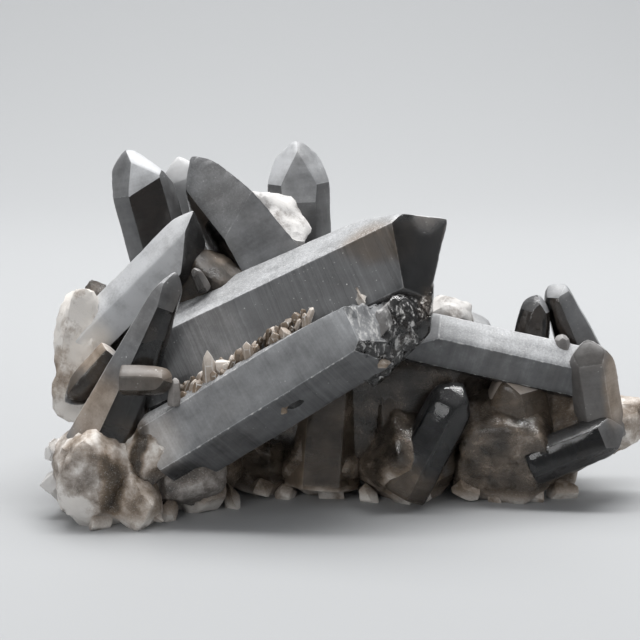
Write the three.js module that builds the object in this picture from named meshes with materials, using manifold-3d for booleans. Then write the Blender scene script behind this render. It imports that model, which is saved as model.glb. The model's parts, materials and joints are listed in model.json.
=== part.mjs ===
// Smoky quartz cluster: a hand-sized natural specimen in one piece. Six-sided quartz crystals grow out of a
// milky root and into each other, so everything is joined in one solid that rests on a flat broken foot.
// Units are millimetres, +X right, +Y back, +Z up.

import * as THREE from "three";
import { mergeVertices } from "three/addons/utils/BufferGeometryUtils.js";
import Module from "manifold-3d";

const wasm = await Module();
wasm.setup();

const BLANK = 300; // edge of the cube that every crystal and lump is cut from
const DEG = Math.PI / 180;
const UP = new THREE.Vector3(0, 0, 1);

// ---------------------------------------------------------------------------------------------------------
// Crystals. foot and tip are the ends of a crystal's axis. A turn is an angle about that axis in degrees,
// from the side that looks up (0) towards the side that looks to the front (90). roll is the turn of the
// first of the six side faces, sides are their distances from the axis at the tip, and taper is the angle
// by which they spread towards the foot. Each cap is one face of the point: its turn, its tilt away from
// square across the axis, and how far behind the tip it crosses the axis.

const crystals = [
  { name: "upper main", foot: [-34.5, -3, 25], tip: [24, -8, 54], roll: 11, taper: [0, 0, 0, 0, 0, 6],
    sides: [9, 7.5, 9.5, 9, 8, 10.5], caps: [[89, 38, 2.8], [185, 43, -0.5], [345, 66, -13]] },
  { name: "front main", foot: [-31.3, -10.5, 13.7], tip: [16, -16, 44.5], roll: 17, taper: 0,
    sides: [8, 9, 9, 9, 9, 8], caps: [[89, 34, 3.8], [125, 58, -4], [335, 85, -7], [207, 43, -9]] },
  { name: "front main end", foot: [7, -13, 30], tip: [21.6, -14.6, 45], roll: 0, taper: 0,
    sides: [5.2, 7, 5.6, 5.2, 6, 6], caps: [[180, 47, 0], [10, 48, -0.6], [85, 40, 2.2], [130, 58, -1.5]] },
  { name: "left tapered", foot: [-43.2, -12, 13.5], tip: [-27, -12, 50], roll: 50, taper: 6.5,
    sides: [2, 2, 2.2, 2, 2.4, 2], caps: [[110, 70, 0.5], [350, 66, 0], [50, 56, 0.5], [230, 60, 0.5]] },
  { name: "cross stub", foot: [-38, -19, 29], tip: [-26.5, -20, 29], roll: 30, taper: 0,
    sides: [2.6, 3, 3, 3, 3, 2.6], caps: [[20, 52, 0], [140, 52, 0], [260, 52, 0], [80, 20, 1]] },
  { name: "left oblique", foot: [-47.8, 3.1, 30.8], tip: [-23, 4, 55.5], roll: 35, taper: 0,
    sides: [5, 5, 5, 5, 5, 5], caps: [[149, 57, 1.8], [300, 60, -1]] },
  { name: "left dark end", foot: [-41, -6, 32], tip: [-51, -7, 21], roll: 25, taper: 0,
    sides: [2.5, 3, 3, 3, 3, 2.5], caps: [[0, 62, 0], [120, 52, 0], [240, 52, 0]] },
  { name: "tall left", foot: [-26.3, 12, 24], tip: [-38.5, 12, 71], roll: 19, taper: 0,
    sides: [5.8, 5.2, 5.8, 5.8, 5.8, 5.8],
    caps: [[48, 46, 0.5], [139, 65, -3], [84, 74, -9.5], [259, 52, 0], [340, 56, 0]] },
  { name: "pale tip", foot: [-15, 26.6, 26], tip: [-30, 22, 68.5], roll: 0, taper: 0,
    sides: [4, 4, 4, 4, 4, 4], caps: [[0, 52, 0], [120, 52, 0], [240, 52, 0]] },
  { name: "blunt upright", foot: [-3, 13.2, 36], tip: [-23, 12, 69.5], roll: 30, taper: 5,
    sides: [8, 4.2, 6.6, 9, 4.5, 0.2], caps: [[100, 68, 0], [210, 60, -8], [330, 52, 1], [30, 52, -1]] },
  { name: "back upright", foot: [-3.2, 30, 20], tip: [-5, 30, 72], roll: 28, taper: 0,
    sides: [6, 6, 6, 6, 6, 6], caps: [[28, 60, 0], [148, 60, 0], [268, 52, 0], [88, 76, -10]] },
  { name: "right lying", foot: [57, 3, 24.5], tip: [13, 0, 35], roll: 45, taper: 0,
    sides: [5.3, 5.3, 5.3, 5.3, 5.3, 5.3], caps: [[45, 62, 0], [165, 52, -2], [285, 52, 0]] },
  { name: "right dark blade", foot: [43, 12, 25.5], tip: [45, 12, 41], roll: 40, taper: 4,
    sides: [2.8, 2.8, 2.8, 2.8, 2.8, 2.8], caps: [[40, 52, 0], [160, 52, 0], [280, 52, 0]] },
  { name: "right leaning", foot: [57.5, 14, 20.5], tip: [47.5, 14, 43.5], roll: 63, taper: 6.5,
    sides: [2.5, 2.5, 2.5, 2.5, 2.5, 2.5], caps: [[63, 52, 0], [183, 52, 0], [303, 52, 0], [93, 30, 2]] },
  { name: "nub", foot: [49, 1, 26], tip: [48.5, 1, 34.5], roll: 30, taper: 0,
    sides: [1.7, 1.7, 1.7, 1.7, 1.7, 1.7], caps: [[30, 40, 0], [150, 40, 0], [270, 40, 0]] },
  { name: "right upright", foot: [57, -2, 13], tip: [53, -2, 34.5], roll: 38, taper: 0,
    sides: [4.3, 4.3, 4.3, 4.3, 4.3, 4.3], caps: [[98, 52, 0], [218, 52, 0], [338, 52, 0]] },
  { name: "right underside", foot: [42, -4, 8], tip: [61, -6, 16.5], roll: 20, taper: 0,
    sides: [4, 4, 4, 4, 4, 4], caps: [[80, 52, 0], [200, 52, 0], [320, 52, 0]] },
  { name: "smoky under", foot: [16.5, -6, 2.5], tip: [28.5, -5, 26], roll: 60, taper: 0,
    sides: [4.5, 4.5, 4.5, 4.5, 4.5, 4.5], caps: [[60, 52, 0], [180, 52, 0], [300, 52, 0]] },
  { name: "finger", foot: [-28, -18.5, 23.5], tip: [-27.5, -18.8, 30], roll: 30, taper: 2,
    sides: [1.2, 1.2, 1.2, 1.2, 1.2, 1.2], caps: [[30, 52, 0], [150, 52, 0], [270, 52, 0]] },
  { name: "thumb", foot: [-23, 1, 43], tip: [-25.3, -2, 48.3], roll: 30, taper: 2,
    sides: [1.3, 1.3, 1.3, 1.3, 1.3, 1.3], caps: [[30, 52, 0], [150, 52, 0], [270, 52, 0]] },
  { name: "seam spike", foot: [-20.5, -16.5, 26], tip: [-21.5, -18, 34.5], roll: 30, taper: 6,
    sides: [0.9, 0.9, 0.9, 0.9, 0.9, 0.9], caps: [[30, 68, 0], [150, 68, 0], [270, 68, 0]] },
  { name: "seam block", foot: [-17.5, -15.5, 28], tip: [-18.5, -18, 32], roll: 10, taper: 2,
    sides: [1.5, 1.5, 1.8, 1.5, 1.5, 1.8], caps: [[10, 30, 0], [130, 52, 0.5]] },
  { name: "seam upright", foot: [-13, -18, 29], tip: [-14, -19, 36.3], roll: 20, taper: 2,
    sides: [0.9, 0.9, 0.9, 0.9, 0.9, 0.9], caps: [[20, 56, 0], [140, 56, 0], [260, 56, 0]] },
  { name: "seam wedge", foot: [-5, -19, 35], tip: [-7.5, -20, 39.2], roll: 40, taper: 5,
    sides: [0.9, 0.9, 0.9, 0.9, 0.9, 0.9], caps: [[40, 60, 0], [160, 60, 0], [280, 60, 0]] },
  { name: "column left", foot: [0.5, 1, 2], tip: [3, 6, 36], roll: 25, taper: 0,
    sides: [7, 6.5, 7, 7, 7, 7], caps: [[25, 52, 0], [145, 52, 0], [265, 52, 0]] },
  { name: "column middle", foot: [14.5, 1, 3], tip: [13, 6, 33], roll: 0, taper: 0,
    sides: [4.5, 4.5, 4.5, 4.5, 4.5, 4.5], caps: [[0, 52, 0], [120, 52, 0], [240, 52, 0]] },
  { name: "column right", foot: [43, 0, 4], tip: [38, 4, 29], roll: 15, taper: 0,
    sides: [6, 6, 6, 6, 6, 6], caps: [[15, 52, 0], [135, 52, 0], [255, 52, 0]] },
  { name: "back left high", foot: [-24, 16, 22], tip: [-45, 35, 40], roll: 10, taper: 1,
    sides: [5, 5.5, 5, 5, 5.5, 5], caps: [[10, 52, 0], [130, 52, 1], [250, 52, 0], [190, 64, -3]] },
  { name: "back left low", foot: [-26, 14, 10], tip: [-50, 30, 16], roll: 35, taper: 2,
    sides: [4.5, 4.5, 5, 4.5, 4.5, 5], caps: [[35, 52, 0], [155, 52, 0], [275, 52, 1]] },
  { name: "back centre", foot: [-8, 18, 22], tip: [-20, 41, 45], roll: 20, taper: 0,
    sides: [6, 6, 5.5, 6, 6, 6.5], caps: [[20, 52, 0], [140, 52, 1.5], [260, 52, 0], [200, 60, -1]] },
  { name: "back main", foot: [-8, 20, 14], tip: [24, 38, 38], roll: 50, taper: 0,
    sides: [7, 6.5, 7, 7.5, 7, 6.5], caps: [[50, 52, 0], [170, 52, 2], [290, 52, 0], [350, 66, -5]] },
  { name: "back foot", foot: [-6, 16, 8], tip: [-14, 42, 12], roll: 0, taper: 2,
    sides: [4, 4.5, 4, 4, 4.5, 4], caps: [[0, 52, 0], [120, 52, 0], [240, 52, 0]] },
  { name: "back right", foot: [26, 12, 12], tip: [47, 34, 25], roll: 20, taper: 1,
    sides: [5, 5, 5.5, 5, 5, 5], caps: [[20, 52, 0], [140, 52, 0], [260, 52, 1.5]] },
  { name: "back upper", foot: [-12, 20, 26], tip: [-1, 40, 41], roll: 5, taper: 1,
    sides: [4, 4, 4.5, 4, 4, 4.5], caps: [[5, 52, 0], [125, 52, 0], [245, 52, 1]] },
  { name: "back left middle", foot: [-22, 18, 20], tip: [-36, 39, 29], roll: 25, taper: 2,
    sides: [3.5, 3.5, 3.5, 3.5, 3.5, 3.5], caps: [[25, 52, 0], [145, 52, 0], [265, 52, 0]] },
  { name: "back right upper", foot: [14, 16, 20], tip: [37, 31, 32], roll: 40, taper: 1,
    sides: [3.5, 4, 3.5, 3.5, 4, 3.5], caps: [[40, 52, 0], [160, 52, 0], [280, 52, 1]] },
  { name: "back low middle", foot: [8, 20, 10], tip: [14, 43, 15], roll: 15, taper: 2,
    sides: [3.5, 3.5, 3.5, 3.5, 3.5, 3.5], caps: [[15, 52, 0], [135, 52, 0], [255, 52, 0]] },
  { name: "back right low", foot: [30, 12, 7], tip: [36, 36, 9], roll: 45, taper: 2,
    sides: [4, 4, 4, 4, 4, 4], caps: [[45, 52, 0], [165, 52, 0], [285, 52, 0]] },
];

// ---------------------------------------------------------------------------------------------------------
// Lumps of the milky root and its broken rim: at is the middle, size the half widths, faces the number of
// broken faces, and seed what sets their places.

const CORE = { at: [0, 13, 21], size: [41, 16, 18], faces: 26, seed: 9 };
const chunks = [
  { at: [-43.5, -11, 9], size: [9.5, 13, 10.5], faces: 18, seed: 1 },
  { at: [-26, 0, 8], size: [10, 12, 10], faces: 18, seed: 2 },
  { at: [-12, 9, 8], size: [9, 11, 10], faces: 18, seed: 3 },
  { at: [0.5, 7, 8], size: [9.5, 12, 9.5], faces: 18, seed: 4 },
  { at: [18, 4, 9], size: [10.5, 13, 10.5], faces: 18, seed: 5 },
  { at: [38.5, 5, 10], size: [12, 13, 12], faces: 20, seed: 6 },
  { at: [49, 8, 13], size: [8, 11, 10], faces: 18, seed: 7 },
  { at: [61.5, 2, 15.5], size: [5, 5, 5.5], faces: 14, seed: 8 },
  CORE,
  { at: [-48, 4, 29], size: [6, 8, 15], faces: 18, seed: 10 },
  { at: [-11.5, 19, 53.5], size: [8.5, 7, 7.5], faces: 14, seed: 29 },
  { at: [-22, 10, 41.5], size: [9, 7.5, 7], faces: 14, seed: 12 },
  { at: [-33, -14, 13], size: [6.5, 6.5, 6], faces: 16, seed: 13 },
  { at: [-36, -17, 5], size: [6, 6, 6.5], faces: 14, seed: 14 },
  { at: [-24, -6, 4], size: [5, 6, 5], faces: 12, seed: 15 },
  { at: [-52, -10, 12.5], size: [2.5, 3, 2.5], faces: 10, seed: 16 },
  { at: [-52, -12, 6.5], size: [2.5, 3, 2.5], faces: 10, seed: 17 },
  { at: [-45.5, 6, 41.5], size: [2.5, 3, 3], faces: 10, seed: 18 },
  { at: [-38, 16, 12], size: [10, 9, 11], faces: 16, seed: 19 },
  { at: [2, 27, 9], size: [17, 8, 9], faces: 18, seed: 20 },
  { at: [32, 20, 10], size: [14, 8, 10], faces: 16, seed: 21 },
  { at: [26, 10, 36], size: [5, 4.5, 4.5], faces: 14, seed: 22 },
  { at: [7.8, -15.8, 43.8], size: [1.3, 1.2, 1.5], faces: 9, seed: 23 },
  { at: [11.8, -19.4, 32.2], size: [1.6, 1.1, 0.9], faces: 9, seed: 24 },
  { at: [-7, -19.6, 23.6], size: [1.3, 1.3, 1.5], faces: 9, seed: 25 },
  { at: [-26.5, -11, 8], size: [7.5, 7.5, 7], faces: 18, seed: 26 },
];

// The notch broken out of the lower edge of the front main crystal, written in the same way.
const notch = { at: [-2, -23, 22.3], size: [4.8, 4, 3.2], faces: 9, seed: 40 };

// ---------------------------------------------------------------------------------------------------------
// Druse: the seam of tiny crystals in the groove between the two main crystals. They stand in a row along
// the seam, each a little out of line with the next.

const SEAM_START = [-28, -17.6, 24.4];
const SEAM_END = [-1.5, -20.6, 41.4];
const SEAM_CRYSTALS = 40;
const SEAM_DEPTH = 4.5; // how far back from the edge the row spreads
const SEAM_RISE = 0.29; // how much higher the seam lies for each millimetre back from the edge
const SEAM_WIDTH = [0.4, 0.95]; // thinnest and thickest, from axis to side face
const SEAM_HEIGHT = [0.2, 1.6]; // how far the tips stand above the seam

// Rim: broken chips round the edge of the foot, strung along a closed line of [x, y] corners.

const RIM = [
  [-50, -12], [-42, -19], [-32, -17], [-22, -9], [-10, 1], [2, 1], [13, -1], [22, -2.5], [32, -1.5], [44, -1],
  [50, 2], [51, 8], [43, 14], [36, 22], [22, 23], [6, 29], [-12, 24], [-28, 17], [-40, 16], [-48, 0],
];
const RIM_CHIPS = 34;
const RIM_CHIP_SIZE = [1.3, 3];
const RIM_CHIP_HEIGHT = [0.5, 3.2];

// Back: short crystals scattered over the back of the core. bearing is the side they stand on, 90 being
// straight back, and climb is how far up the core, both in degrees.

const BACK_CRYSTALS = 30;
const BACK_BEARING = [15, 165];
const BACK_CLIMB = [0, 58];
const BACK_WIDTH = [1.2, 2.9];
const BACK_HEIGHT = [1.5, 6.5];

// A repeatable value between 0 and 1 for item i of a set.
function shake(i, seed) {
  const x = Math.sin(i * 12.9898 + seed * 78.233) * 43758.5453;
  return x - Math.floor(x);
}

function between(range, i, seed) {
  return range[0] + (range[1] - range[0]) * shake(i, seed);
}

// A manifold solid from a closed three.js geometry.
function solidFrom(geometry) {
  const bare = geometry.clone();
  bare.deleteAttribute("normal");
  bare.deleteAttribute("uv");
  const merged = mergeVertices(bare);
  return new wasm.Manifold(new wasm.Mesh({
    numProp: 3,
    vertProperties: new Float32Array(merged.attributes.position.array),
    triVerts: new Uint32Array(merged.index.array),
  }));
}

// What is left of a cube round the point after cutting it back to each plane: normal points outwards.
function cutBack(centre, planes) {
  const cube = new THREE.BoxGeometry(BLANK, BLANK, BLANK);
  cube.translate(centre.x, centre.y, centre.z);
  let solid = solidFrom(cube);
  for (const { normal, point } of planes) {
    const inward = normal.clone().negate();
    solid = solid.trimByPlane(inward.toArray(), inward.dot(point));
  }
  return solid;
}

function crystalSolid({ foot, tip, roll, taper, sides, caps }) {
  const end = new THREE.Vector3(...tip);
  const start = new THREE.Vector3(...foot);
  const axis = end.clone().sub(start).normalize();
  const up = UP.clone().addScaledVector(axis, -UP.dot(axis)).normalize();
  const front = axis.clone().cross(up);
  if (front.y > 0) front.negate();
  const around = (turn) =>
    up.clone().multiplyScalar(Math.cos(turn * DEG)).addScaledVector(front, Math.sin(turn * DEG));

  const planes = sides.map((distance, k) => {
    const out = around(roll + 60 * k);
    const spread = (Array.isArray(taper) ? taper[k] : taper) * DEG;
    const normal = out.clone().multiplyScalar(Math.cos(spread)).addScaledVector(axis, Math.sin(spread));
    return { normal, point: end.clone().addScaledVector(out, distance) };
  });
  for (const [turn, tilt, back] of caps) {
    const normal = axis.clone().multiplyScalar(Math.cos(tilt * DEG));
    normal.addScaledVector(around(turn), Math.sin(tilt * DEG));
    planes.push({ normal, point: end.clone().addScaledVector(axis, -back) });
  }
  planes.push({ normal: axis.clone().negate(), point: start });
  return cutBack(end, planes);
}

// Broken faces lie on the skin of an egg, spread by the golden angle and shaken out of line.
function chunkSolid({ at, size, faces, seed }) {
  const GOLDEN_ANGLE = 2.39996;
  const middle = new THREE.Vector3(...at);
  const planes = [];
  for (let i = 0; i < faces; i++) {
    const turn = GOLDEN_ANGLE * i + 1.2 * shake(i, seed);
    const level = 1 - (2 * i + 1) / faces + 0.25 * (shake(i + 50, seed) - 0.5);
    const rise = THREE.MathUtils.clamp(level, -0.98, 0.98);
    const ring = Math.sqrt(1 - rise * rise);
    const out = new THREE.Vector3(ring * Math.cos(turn), ring * Math.sin(turn), rise);
    const half = new THREE.Vector3(...size);
    const reach = 0.86 + 0.2 * shake(i + 90, seed);
    planes.push({
      normal: out.clone().divide(half).normalize(),
      point: out.clone().multiply(half).multiplyScalar(reach).add(middle),
    });
  }
  return cutBack(middle, planes);
}

function druseSolids() {
  const start = new THREE.Vector3(...SEAM_START);
  const end = new THREE.Vector3(...SEAM_END);
  const solids = [];
  for (let i = 0; i < SEAM_CRYSTALS; i++) {
    const spot = start.clone().lerp(end, (i + 0.8 * shake(i, 31)) / SEAM_CRYSTALS);
    const back = SEAM_DEPTH * shake(i, 32);
    spot.y += back;
    spot.z += SEAM_RISE * back;
    const height = between(SEAM_HEIGHT, i, 33);
    const width = between(SEAM_WIDTH, i, 34);
    const lean = new THREE.Vector3(shake(i, 35) - 0.5, shake(i, 36) - 0.7, 1.1).normalize();
    const tip = spot.clone().addScaledVector(lean, height);
    const foot = spot.clone().addScaledVector(lean, -3);
    const roll = 60 * shake(i, 37);
    solids.push(crystalSolid({
      foot: foot.toArray(), tip: tip.toArray(), roll, taper: 3,
      sides: Array(6).fill(width), caps: [0, 120, 240].map((turn) => [roll + turn, 52, 0]),
    }));
  }
  return solids;
}

function backSolids() {
  const size = new THREE.Vector3(...CORE.size);
  const solids = [];
  for (let i = 0; i < BACK_CRYSTALS; i++) {
    const bearing = between(BACK_BEARING, i, 71) * DEG;
    const climb = between(BACK_CLIMB, i, 72) * DEG;
    const out = new THREE.Vector3(
      Math.cos(climb) * Math.cos(bearing), Math.cos(climb) * Math.sin(bearing), Math.sin(climb));
    const spot = out.clone().multiply(size).add(new THREE.Vector3(...CORE.at));
    const lean = out.clone().divide(size).normalize();
    lean.add(new THREE.Vector3(shake(i, 73) - 0.5, 0, 0.7 * shake(i, 74))).normalize();
    const roll = 60 * shake(i, 75);
    solids.push(crystalSolid({
      foot: spot.clone().addScaledVector(lean, -6).toArray(),
      tip: spot.clone().addScaledVector(lean, between(BACK_HEIGHT, i, 76)).toArray(),
      roll, taper: 2, sides: Array(6).fill(between(BACK_WIDTH, i, 77)),
      caps: [0, 120, 240].map((turn) => [roll + turn, 52, 0]),
    }));
  }
  return solids;
}

function rimSolids() {
  const corners = RIM.map(([x, y]) => new THREE.Vector3(x, y, 0));
  const line = new THREE.CurvePath();
  corners.forEach((corner, i) => line.add(new THREE.LineCurve3(corner, corners[(i + 1) % corners.length])));
  const solids = [];
  for (let i = 0; i < RIM_CHIPS; i++) {
    const spot = line.getPointAt((i + 0.7 * shake(i, 51)) / RIM_CHIPS);
    const size = [52, 53, 54].map((seed) => between(RIM_CHIP_SIZE, i, seed));
    const at = [spot.x, spot.y, between(RIM_CHIP_HEIGHT, i, 55)];
    solids.push(chunkSolid({ at, size, faces: 10, seed: 60 + i }));
  }
  return solids;
}

// ---------------------------------------------------------------------------------------------------------
// The cluster: all solids joined, cut flat at the floor, and moved so that its box stands on the middle of
// the floor.

const notched = crystals.map((crystal) => {
  const whole = crystalSolid(crystal);
  return crystal.name === "front main" ? whole.subtract(chunkSolid(notch)) : whole;
});
const grown = [...notched, ...chunks.map(chunkSolid), ...druseSolids(), ...backSolids(), ...rimSolids()];
const joined = grown.reduce((whole, solid) => whole.add(solid)).trimByPlane([0, 0, 1], 0);
const [outside] = joined.decompose().sort((a, b) => b.volume() - a.volume()); // fills pockets sealed inside

const { vertProperties, triVerts } = outside.getMesh();
const shared = new THREE.BufferGeometry();
shared.setAttribute("position", new THREE.BufferAttribute(vertProperties, 3));
shared.setIndex(new THREE.BufferAttribute(triVerts, 1));
const geometry = shared.toNonIndexed(); // so that every face is shaded flat
geometry.computeBoundingBox();
const middle = geometry.boundingBox.getCenter(new THREE.Vector3());
geometry.translate(-middle.x, -middle.y, 0);
geometry.computeVertexNormals();

const cluster = new THREE.Mesh(
  geometry,
  new THREE.MeshStandardMaterial({ color: 0x6b6a68, roughness: 0.38, metalness: 0 }),
);
cluster.name = "smoky_quartz_cluster";

const specimen = new THREE.Group();
specimen.add(cluster);

export default specimen;
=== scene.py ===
import json
from math import cos, exp, log, pi, radians, sin, sqrt

import bmesh
import bpy
from mathutils import Matrix, Vector, noise

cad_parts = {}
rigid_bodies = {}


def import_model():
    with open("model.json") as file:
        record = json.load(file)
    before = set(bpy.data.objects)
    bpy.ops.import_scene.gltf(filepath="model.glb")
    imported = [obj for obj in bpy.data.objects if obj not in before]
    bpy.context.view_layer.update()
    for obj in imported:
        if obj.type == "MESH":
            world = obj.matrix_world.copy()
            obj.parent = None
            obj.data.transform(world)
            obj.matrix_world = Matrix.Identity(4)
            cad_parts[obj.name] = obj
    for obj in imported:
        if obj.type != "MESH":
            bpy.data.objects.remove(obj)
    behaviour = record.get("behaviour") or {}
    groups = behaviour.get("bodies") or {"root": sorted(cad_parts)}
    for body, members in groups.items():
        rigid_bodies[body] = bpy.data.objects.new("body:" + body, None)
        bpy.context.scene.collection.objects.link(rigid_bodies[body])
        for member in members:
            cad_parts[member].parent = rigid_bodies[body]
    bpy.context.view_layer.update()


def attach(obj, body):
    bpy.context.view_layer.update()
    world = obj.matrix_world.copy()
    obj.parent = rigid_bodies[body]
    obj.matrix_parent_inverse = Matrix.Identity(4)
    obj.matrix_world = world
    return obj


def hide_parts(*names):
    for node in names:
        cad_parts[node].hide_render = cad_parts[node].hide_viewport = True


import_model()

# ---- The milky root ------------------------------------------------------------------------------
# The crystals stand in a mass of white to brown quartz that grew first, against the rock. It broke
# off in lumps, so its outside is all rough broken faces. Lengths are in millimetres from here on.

CORE = dict(at=(0, 13, 21), size=(41, 16, 18), faces=26, seed=9)
lumps = [
    dict(at=(-43.5, -11, 9), size=(9.5, 13, 10.5), faces=18, seed=1, clear=0.08, pale=0.68, relief=1,
         brown=0.7),
    dict(at=(-26, 0, 8), size=(10, 12, 10), faces=18, seed=2, clear=0.4, pale=0.52),
    dict(at=(-12, 9, 8), size=(9, 11, 10), faces=18, seed=3, clear=0.5, pale=0.46),
    dict(at=(0.5, 7, 8), size=(9.5, 12, 9.5), faces=18, seed=4, clear=0.4, pale=0.52),
    dict(at=(18, 4, 9), size=(10.5, 13, 10.5), faces=18, seed=5, clear=0.5, pale=0.42, brown=0.7),
    dict(at=(38.5, 5, 10), size=(12, 13, 12), faces=20, seed=6, clear=0.5, pale=0.42, brown=0.7),
    dict(at=(49, 8, 13), size=(8, 11, 10), faces=18, seed=7, clear=0.35, pale=0.52),
    dict(at=(61.5, 2, 15.5), size=(5, 5, 5.5), faces=14, seed=8, clear=0.1, pale=0.75),
    dict(**CORE, clear=0.5, pale=0.35, brown=0.6),
    dict(at=(-48, 4, 29), size=(6, 8, 15), faces=18, seed=10, clear=0.04, pale=1, brown=0.7, sugary=0.4,
         relief=1.1),
    dict(at=(-11.5, 19, 53.5), size=(8.5, 7, 7.5), faces=14, seed=29, clear=0.05, pale=0.98, brown=0.45,
         sugary=0.7, relief=0.9),
    dict(at=(-22, 10, 41.5), size=(9, 7.5, 7), faces=14, seed=12, clear=0.25, pale=0.3, brown=0.55,
         relief=0.25, sugary=0),
    dict(at=(-33, -14, 13), size=(6.5, 6.5, 6), faces=16, seed=13, clear=0.12, pale=0.6, brown=0.4, relief=1),
    dict(at=(-36, -17, 5), size=(6, 6, 6.5), faces=14, seed=14, clear=0.1, pale=0.68),
    dict(at=(-24, -6, 4), size=(5, 6, 5), faces=12, seed=15, clear=0.2, pale=0.8),
    dict(at=(-52, -10, 12.5), size=(2.5, 3, 2.5), faces=10, seed=16, clear=0, pale=1.35, brown=0.5),
    dict(at=(-52, -12, 6.5), size=(2.5, 3, 2.5), faces=10, seed=17, clear=0, pale=1.3, brown=0.5),
    dict(at=(-45.5, 6, 41.5), size=(2.5, 3, 3), faces=10, seed=18, clear=0.4, pale=0.4, brown=0.4),
    dict(at=(-38, 16, 12), size=(10, 9, 11), faces=16, seed=19, clear=0.3, pale=0.6),
    dict(at=(2, 27, 9), size=(17, 8, 9), faces=18, seed=20, clear=0.4, pale=0.52),
    dict(at=(32, 20, 10), size=(14, 8, 10), faces=16, seed=21, clear=0.4, pale=0.55),
    dict(at=(26, 10, 36), size=(5, 4.5, 4.5), faces=14, seed=22, clear=0.1, pale=0.95, brown=0.5),
    dict(at=(7.8, -15.8, 43.8), size=(1.3, 1.2, 1.5), faces=9, seed=23, clear=0, pale=0.85, brown=1),
    dict(at=(11.8, -19.4, 32.2), size=(1.6, 1.1, 0.9), faces=9, seed=24, clear=0, pale=0.75, brown=1),
    dict(at=(-7, -19.6, 23.6), size=(1.3, 1.3, 1.5), faces=9, seed=25, clear=0, pale=0.6, brown=1),
    dict(at=(-26.5, -11, 8), size=(7.5, 7.5, 7), faces=18, seed=26, clear=0.15, pale=0.64, brown=0.45),
]
LUMP_GRID = 1.3  # between the cuts that let a broken face be rough
LUMP_RELIEF = 0.7  # how far hollows and ridges go in and out
BLOCK = 300  # edge of the block that each crystal and lump is cut from
TOUCHING = 1e-4  # a point this near a plane lies on it
WEAR_STEPS = 4  # each brings a worn point nearer to the rounded surface
CLOSE_ENOUGH = 0.01  # a point this near the rounded surface stays where it is

grown = bpy.data.collections.new("grown")
bpy.context.scene.collection.children.link(grown)


def shake(i, seed):
    """A repeatable value between 0 and 1 for item i of a set."""
    x = sin(i * 12.9898 + seed * 78.233) * 43758.5453
    return x - (x // 1)


def between(low, high, i, seed):
    return low + (high - low) * shake(i, seed)


def cut_back(middle, planes):
    """A big block cut back to each plane, with every face marked by the plane that made it."""
    stone = bmesh.new()
    maker = stone.faces.layers.int.new("maker")
    stone.faces.layers.int.new("eased")
    bmesh.ops.create_cube(stone, size=BLOCK, matrix=Matrix.Translation(middle))
    for number, (out, point) in enumerate(planes):
        everything = stone.verts[:] + stone.edges[:] + stone.faces[:]
        bmesh.ops.bisect_plane(stone, geom=everything, dist=TOUCHING, plane_co=point, plane_no=out,
                               clear_outer=True)
        open_edges = [e for e in stone.edges if e.is_boundary]
        for face in bmesh.ops.holes_fill(stone, edges=open_edges, sides=0)["faces"]:
            face[maker] = number
    bmesh.ops.dissolve_degenerate(stone, edges=stone.edges[:], dist=0.02)
    return stone


def ease_edges(stone, width, steps):
    """Rounds the edges a little and marks the narrow new faces, which carry the wear and the painted
    highlights along the edges.
    """
    edge = stone.faces.layers.int["eased"]
    eased = bmesh.ops.bevel(stone, geom=stone.edges[:], offset=width, offset_type="OFFSET", segments=steps,
                            profile=0.6, affect="EDGES", clamp_overlap=True)
    for face in eased["faces"]:
        face[edge] = 1


def slice_across(stone, direction, spacing, seed):
    """Cuts the faces along many parallel planes, unevenly spaced, so that they can take relief."""
    reach = [v.co.dot(direction) for v in stone.verts]
    at, end, i = min(reach) + 0.4 * spacing, max(reach) - 0.3 * spacing, 0
    while at < end:
        everything = stone.verts[:] + stone.edges[:] + stone.faces[:]
        bmesh.ops.bisect_plane(stone, geom=everything, dist=TOUCHING, plane_co=direction * at,
                               plane_no=direction)
        at += spacing * between(0.6, 1.4, i, seed)
        i += 1


def wear_round(stone, planes, blunt):
    """Moves the points near an edge or a tip in to a rounded surface; blunt is its radius at a place."""
    for v in stone.verts:
        radius = blunt(v.co)
        for _ in range(WEAR_STEPS):
            depths = [(v.co - point).dot(out) for out, point in planes]
            top = max(depths)
            shares = [exp((depth - top) / radius) for depth in depths]
            over = top + radius * log(sum(shares))
            if over < CLOSE_ENOUGH:
                break
            way = sum((out * share for (out, _), share in zip(planes, shares)), Vector()) / sum(shares)
            v.co -= way * (over / max(way.length_squared, 0.05))


def push(stone, relief):
    """Moves every point in or out along its own normal."""
    stone.normal_update()
    moves = [v.normal * relief(v.co) for v in stone.verts]
    for v, move in zip(stone.verts, moves):
        v.co += move


def keep(stone, name, axis, look, worn, rough, flaked=lambda k: 0):
    """Stores a finished stone, with what its faces tell the finish: the way it grew, how clear, pale,
    brown, ridged and sugary each face is, how worn or flaked it is, which also brings painted highlights
    to its edges and painted reflections to its flakes, and whether it is broken rock."""
    maker = stone.faces.layers.int["maker"]
    edge = stone.faces.layers.int["eased"]
    rows = [(*look(f[maker]), max(worn * f[edge], flaked(f[maker])), rough) for f in stone.faces]
    mesh = bpy.data.meshes.new(name)
    stone.to_mesh(mesh)
    stone.free()
    mesh.attributes.new("growth", "FLOAT_VECTOR", "FACE").data.foreach_set("vector", list(axis) * len(rows))
    for k, label in enumerate(("clear", "pale", "brown", "ridged", "sugary", "edge", "rough")):
        mesh.attributes.new(label, "FLOAT", "FACE").data.foreach_set("value", [row[k] for row in rows])
    grown.objects.link(bpy.data.objects.new(name, mesh))


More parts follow.
